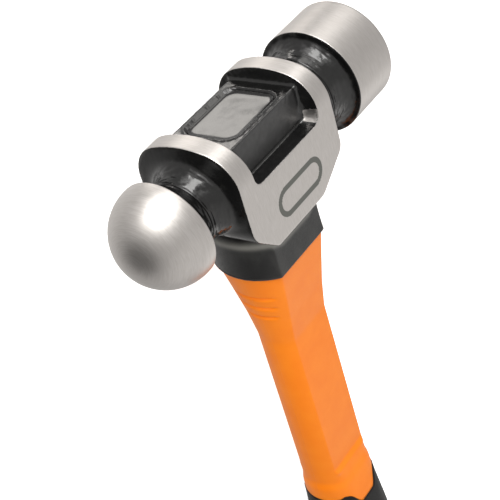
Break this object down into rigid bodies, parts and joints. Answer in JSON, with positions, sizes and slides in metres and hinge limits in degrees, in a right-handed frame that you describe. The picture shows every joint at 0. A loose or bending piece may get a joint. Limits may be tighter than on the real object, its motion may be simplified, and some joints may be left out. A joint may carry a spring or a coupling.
{
  "type": "ball peen hammer",
  "caption": "Ball peen hammer with a forged steel head, a rubber guard, a moulded handle over a fibreglass core and a soft grip, for metalwork.",
  "frame": {"origin": "bottom centre of the hammer as it lies on its cheek", "axes": "+X along the head from the ball to the striking face, +Y along the handle from the butt to the top of the head, +Z out of the upper cheek"},
  "size_m": [0.1262, 0.3942, 0.04],
  "materials": {
    "forged_steel": "satin ground cheeks, collars, face and ball; gloss black paint on the necks and around the eye",
    "epoxy_bond": "gloss black cast epoxy",
    "fibreglass": "pultruded glass fibre and resin, unpainted",
    "orange_jacket": "satin moulded hard plastic",
    "black_rubber": "matt soft rubber",
    "soft_grip": "matt soft overmoulded elastomer"
  },
  "bodies": {
    "root": {"hammer_head": "forged_steel", "eye_bond": "epoxy_bond", "fibreglass_core": "fibreglass", "handle_jacket": "orange_jacket", "rubber_guard": "black_rubber", "soft_grip": "soft_grip"}
  },
  "joints": []
}
